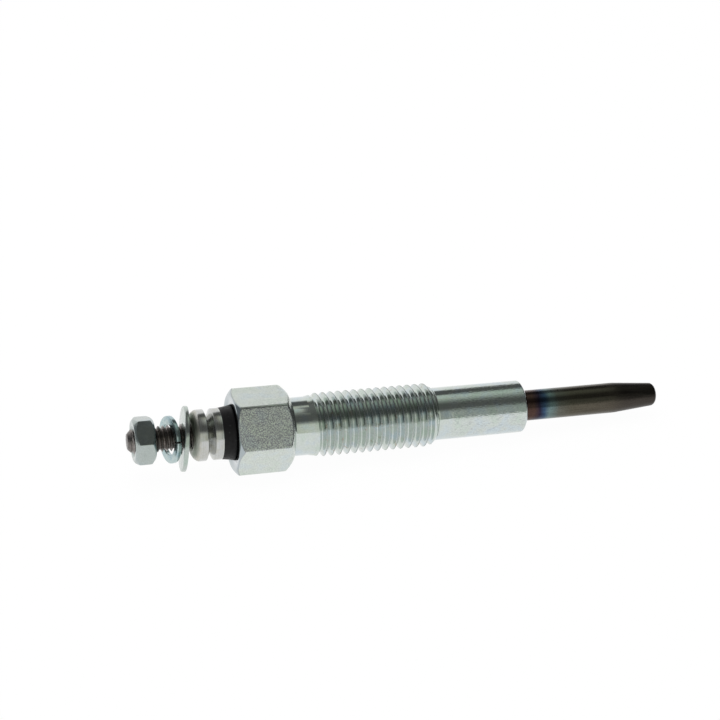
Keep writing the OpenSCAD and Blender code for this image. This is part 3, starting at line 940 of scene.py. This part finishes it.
def make_nut():
    """Hexagonal nut with a chamfered rim on both faces and a countersunk bore."""
    first_flat = FIRST_FLAT + math.radians(NUT_TURN)
    angles = hex_angles(first_flat)
    end_u = NUT_U + NUT_T
    face_r = NUT_AF / 2 - NUT_FACE_STEP
    slope = 1 / math.tan(math.radians(NUT_CHAMFER_ANGLE))
    bore = [
        (end_u, STUD_BORE_R, NUT_BORE_EDGE),
        (NUT_U + BORE_CHAMFER, STUD_BORE_R, NUT_BORE_EDGE),
        (NUT_U, STUD_BORE_R + BORE_CHAMFER, NUT_MOUTH_EDGE),
    ]
    profiles = []
    for a in angles:
        flat_r = hex_radius(a, NUT_AF, first_flat, NUT_EDGE)
        near = trimmed_side(NUT_U, face_r, -slope, flat_r, NUT_EDGE)
        far = trimmed_side(end_u, face_r, slope, flat_r, NUT_EDGE)
        profiles.append(rounded(near[::-1] + far + bore))
    mesh = skin(profiles, angles)
    material = plain_zinc("zinc_nut", NUT_TONES, grain=0.012, rough=(0.16, 0.26))
    new_piece("terminal_nut_steel", *mesh, "zinc_steel", "terminal_nut", material)


def hung(at_u, bore_r, thickness, lean, swing):
    """Place of a washer that hangs on the stud by its bore, leaning and swung."""
    lean, swing = math.radians(lean), math.radians(swing)
    hang = bore_r * math.cos(lean) - thickness / 2 * math.sin(lean) - STUD_R - 2 * PRESS_GAP
    turned = Matrix.Rotation(swing, 4, "Z") @ Matrix.Rotation(lean, 4, "Y")
    return LAID @ Matrix.Translation(Vector((at_u, 0, -hang)) * MM) @ turned


def make_spring_washer():
    """Split washer of eased square section that rises from one end to the other."""
    half = SPRING_T / 2
    outer_r = SPRING_OD / 2
    inner_r = outer_r - SPRING_B
    section = rounded([
        (-half, inner_r, SPRING_EDGE),
        (half, inner_r, SPRING_EDGE),
        (half, outer_r, SPRING_EDGE),
        (-half, outer_r, SPRING_EDGE),
    ])
    count = len(section)
    start = math.radians(SPRING_SPLIT_AT + SPRING_SPLIT / 2)
    sweep = math.radians(360 - SPRING_SPLIT)
    points = []
    for i in range(SPRING_STEPS + 1):
        a = start + sweep * i / SPRING_STEPS
        rise = SPRING_RISE * (0.5 - i / SPRING_STEPS)
        for u, r in section:
            points.append(((u + rise) * MM, r * math.cos(a) * MM, r * math.sin(a) * MM))
    faces = []
    for i in range(SPRING_STEPS):
        here, there = i * count, (i + 1) * count
        for k in range(count):
            n = (k + 1) % count
            faces.append((here + k, here + n, there + n, there + k))
    faces.append(tuple(range(count)))
    faces.append(tuple(SPRING_STEPS * count + k for k in reversed(range(count))))
    material = plain_zinc("zinc_spring", SPRING_TONES, grain=0.01, rough=(0.14, 0.24))
    place = hung(SPRING_U, inner_r, SPRING_T, SPRING_LEAN, SPRING_SWING)
    new_piece(
        "spring_washer_steel",
        points,
        faces,
        "blue_zinc_steel",
        "spring_washer",
        material,
        place,
        sharp=SPRING_SHARP,
    )


def make_flat_washer():
    """Punched washer, rounded on the side where the punch entered."""
    half = FLAT_T / 2
    bore_r, rim_r = FLAT_ID / 2, FLAT_OD / 2
    profile = rounded([
        (-half, bore_r, FLAT_PUNCHED_BORE_EDGE),
        (half, bore_r, FLAT_BORE_EDGE),
        (half, rim_r, FLAT_RIM_EDGE),
        (-half, rim_r, FLAT_PUNCHED_RIM_EDGE),
    ])
    material = plain_zinc("zinc_washer", WASHER_TONES, grain=0.012, rough=(0.16, 0.27))
    place = hung(FLAT_U, bore_r, FLAT_T, FLAT_LEAN, FLAT_SWING)
    mesh = revolve(profile)
    new_piece("flat_washer_steel", *mesh, "zinc_steel", "flat_washer", material, place)


def make_ring_nut():
    """Round turned nut with a round-shouldered nose and a V groove."""
    r = RING_D / 2
    nose_end = RING_U + RING_NOSE_LEN
    groove_end = BUSH_U - RING_RIM_W
    groove = groove_end - RING_GROOVE_W
    groove_middle = groove + RING_GROOVE_LEAN * RING_GROOVE_W
    profile = rounded([
        (RING_U, STUD_BORE_R + BORE_CHAMFER, RING_BORE_EDGE),
        (RING_U, r - RING_NOSE_DROP, RING_NOSE_EDGE),
        (nose_end - RING_SHOULDER_LEN, r - RING_SHOULDER_DROP, RING_SHOULDER_EDGE),
        (nose_end, r, RING_NOSE_EDGE),
        (groove, r, RING_EDGE),
        (groove_middle, r - RING_GROOVE_DEPTH, RING_GROOVE_EDGE),
        (groove_end, r, RING_EDGE),
        (BUSH_U, r, RING_EDGE),
        (BUSH_U, STUD_BORE_R, 0),
        (RING_U + BORE_CHAMFER, STUD_BORE_R, RING_BORE_EDGE),
    ])
    new_piece("ring_nut_steel", *revolve(profile), "turned_nut", "ring_nut", turned_steel())


def make_bush():
    """Moulded bush, flared against the hex, with its neck inside the housing."""
    flare_r = BUSH_FLARE_D / 2
    profile = rounded([
        (BUSH_U, STUD_BORE_R, 0),
        (BUSH_U, BUSH_D / 2, BUSH_EDGE),
        (-BUSH_LIP, flare_r - BUSH_LIP_RISE, BUSH_LIP_EDGE),
        (-BUSH_LIP / 2, flare_r, BUSH_FLARE_EDGE),
        (0, flare_r, BUSH_SEAT_EDGE),
        (0, NECK_R, 0),
        (BUSH_NECK_LEN, NECK_R, BUSH_SEAT_EDGE),
        (BUSH_NECK_LEN, STUD_BORE_R, 0),
    ])
    new_piece("bush_moulding", *revolve(profile), "bush_plastic", "insulating_bush", phenolic())


def make_sheath():
    """Thin tube with a tapered, rounded and closed end."""
    inner_r = SHEATH_R - SHEATH_WALL
    end_r = TAPER_END_D / 2
    wall_u = TIP_U - TIP_WALL
    corners = [
        (SHEATH_U, inner_r, 0),
        (SHEATH_U, SHEATH_R, SHEATH_EDGE),
        (TAPER_U, SHEATH_R, TAPER_EDGE),
    ]
    for i in range(TIP_STEPS + 1):
        a = math.radians(90 * i / TIP_STEPS)
        back, drop = TIP_ROUND * (1 - math.sin(a)), TIP_ROUND * (1 - math.cos(a))
        corners.append((TIP_U - back, end_r - drop, 0))
    corners += [
        (TIP_U, 0, 0),
        (wall_u, 0, 0),
        (wall_u, end_r - SHEATH_WALL, 0),
        (TAPER_U, inner_r, 0),
    ]
    mesh = revolve(rounded(corners, TAPER_EDGE_STEPS))
    new_piece("heater_tube", *mesh, "sheath_alloy", "heater_sheath", heat_tint())


def dress_inner_nodes():
    """Finishes for the pieces inside, whose CAD shapes are right as they are."""
    wire = drawn_wire()
    seal = rubber()
    finishes = {
        "sealing_ring": seal,
        "sheath_seal": seal,
        "control_coil": wire,
        "heating_coil": wire,
        "insulating_powder": packed_powder(),
    }
    for name, material in finishes.items():
        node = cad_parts[name]
        node.data.materials.clear()
        node.data.materials.append(material)


# Stage


def make_camera():
    """Camera at the photograph's place, with its frame."""
    azimuth, elevation = math.radians(CAMERA_AZIMUTH), math.radians(CAMERA_ELEVATION)
    back = Vector((
        math.sin(azimuth) * math.cos(elevation),
        -math.cos(azimuth) * math.cos(elevation),
        math.sin(elevation),
    ))
    level = Vector((0, 0, 1)).cross(back).normalized()
    above = back.cross(level)
    roll = math.radians(CAMERA_ROLL)
    right = level * math.cos(roll) + above * math.sin(roll)
    up = back.cross(right)
    lens = bpy.data.cameras.new("camera")
    lens.lens = CAMERA_LENS
    lens.shift_x, lens.shift_y = -CAMERA_SHIFT, CAMERA_SHIFT
    lens.clip_start, lens.clip_end = CAMERA_CLIP
    camera = add("camera", lens)
    turn = Matrix((right, up, back)).transposed().to_4x4()
    spot = (Vector(CAMERA_AIM) + back * CAMERA_DISTANCE) * MM
    camera.matrix_world = Matrix.Translation(spot) @ turn
    bpy.context.scene.camera = camera


def seen_rays(tree):
    """One for rays from the camera and for mirror and glass rays, zero for the rest."""
    path = tree.nodes.new("ShaderNodeLightPath")
    total = path.outputs["Is Camera Ray"]
    for kind in ("Is Glossy Ray", "Is Transmission Ray"):
        either = tree.nodes.new("ShaderNodeMath")
        either.operation = "MAXIMUM"
        tree.links.new(total, either.inputs[0])
        tree.links.new(path.outputs[kind], either.inputs[1])
        total = either.outputs[0]
    return total


def make_floor():
    """White floor that glows a little to the eye and keeps a soft shadow."""
    p = Paint("floor_white")
    paper = p.node("BsdfDiffuse", {"Color": (*FLOOR_PAPER, 1)}).outputs[0]
    glow = p.node("Emission", {"Color": (*WHITE, 1)}).outputs[0]
    share = p.times(seen_rays(p.tree), FLOOR_GLOW)
    material = p.finish_as(p.node("MixShader", {0: share, 1: paper, 2: glow}))
    half = FLOOR_HALF
    corners = [(-half, -half, 0), (half, -half, 0), (half, half, 0), (-half, half, 0)]
    mesh = bpy.data.meshes.new("floor")
    mesh.from_pydata(corners, [], [(0, 1, 2, 3)])
    mesh.materials.append(material)
    floor = add("floor", mesh)


def studio_panels():
    """Soft panels and dark gaps around the plug."""
    p = Paint("studio_panels")
    x, y, z = p.node("SeparateXYZ", {0: p.place}).outputs
    front = p.times(y, -1.0)
    across = p.math("DIVIDE", x, STUDIO_R)
    around = p.times(p.math("ARCTAN2", z, front), 180 / math.pi)
    colour = p.tint(p.ramp(across, FRONT_TONES), STUDIO_DARK, p.step(around, *FRONT_EDGE))
    screen_start = p.step(around, *SCREEN_START)
    screen_end = p.step(around, *SCREEN_END, 1.0, 0.0)
    colour = p.mix(p.times(screen_start, screen_end), colour, p.ramp(across, SCREEN_TONES))
    climbed = p.minus(around, p.times(across, BACK_CLIMB))
    colour = p.tint(colour, STUDIO_BACK, p.step(climbed, *BACK_EDGE))
    colour = p.tint(colour, STUDIO_LEFT, p.step(across, *LEFT_EDGE, 1.0, 0.0))
    colour = p.tint(colour, STUDIO_RIGHT, p.step(across, *RIGHT_EDGE))
    return p.finish_as(p.node("Emission", {"Color": colour}))


def make_studio():
    """Half a shell with the studio's panels, which only the metal's gloss sees."""
    around, up = STUDIO_SEGMENTS
    work = bmesh.new()
    bmesh.ops.create_uvsphere(work, u_segments=around, v_segments=up, radius=STUDIO_R)
    below = [v for v in work.verts if v.co.z < -MM]
    bmesh.ops.delete(work, geom=below, context="VERTS")
    mesh = bpy.data.meshes.new("studio_shell")
    work.to_mesh(mesh)
    work.free()
    mesh.materials.append(studio_panels())
    shell = add("studio_shell", mesh)
    shell.visible_camera = False
    shell.visible_diffuse = False
    shell.visible_transmission = False
    shell.visible_shadow = False


def make_light():
    """Even white surroundings and one broad soft lamp overhead."""
    world = bpy.data.worlds.new("surroundings")
    bpy.context.scene.world = world
    world.use_nodes = True
    tree = world.node_tree
    background = tree.nodes["Background"]
    background.inputs["Color"].default_value = (*WHITE, 1)
    level = tree.nodes.new("ShaderNodeMapRange")
    level.inputs["To Min"].default_value = WORLD_LIGHT
    level.inputs["To Max"].default_value = 1.0
    tree.links.new(seen_rays(tree), level.inputs["Value"])
    tree.links.new(level.outputs[0], background.inputs["Strength"])
    lamp = bpy.data.lights.new("soft_box", "AREA")
    lamp.shape = "DISK"
    lamp.size = LAMP_SIZE
    lamp.energy = LAMP_POWER
    soft_box = add("soft_box", lamp)
    soft_box.location = LAMP_AT
    soft_box.visible_glossy = False


make_housing()
make_rod()
make_nut()
make_spring_washer()
make_flat_washer()
make_ring_nut()
make_bush()
make_sheath()
dress_inner_nodes()
make_camera()
make_floor()
make_studio()
make_light()
bpy.context.scene.view_settings.view_transform = "Standard"
